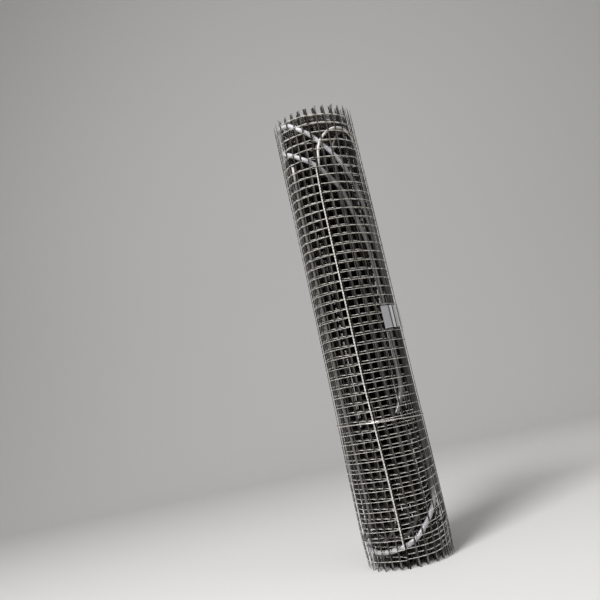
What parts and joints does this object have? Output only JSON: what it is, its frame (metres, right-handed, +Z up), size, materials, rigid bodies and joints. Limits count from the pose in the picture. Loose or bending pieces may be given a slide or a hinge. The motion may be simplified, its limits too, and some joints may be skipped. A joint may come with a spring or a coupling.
{
  "type": "underfloor heating mat",
  "caption": "Rolled-up electric underfloor heating mat: open square-cell net in a hollow upright roll, zigzag heating cable, cold lead, film label and tie wire.",
  "frame": {"origin": "middle of the lower end of the standing roll, on the surface that it stands on", "axes": "+Z up along the roll's axis, -Y towards the front, where the mat's free outer edge shows a little to the left"},
  "size_m": [0.0982, 0.0982, 0.496],
  "materials": {
    "coated_net": "dark grey coated glass-fibre strands with pale glints, satin",
    "cable_sheath": "light grey extruded sheath, satin",
    "lead_sheath": "pale cool-grey extruded sheath, soft gloss",
    "tie_wire": "thin bright wire",
    "label_film": "plain white film, soft gloss, unprinted"
  },
  "bodies": {
    "root": {"mesh_roll": "coated_net", "heating_cable": "cable_sheath", "cold_lead": "lead_sheath", "tie_wire": "tie_wire", "label": "label_film"}
  },
  "joints": []
}
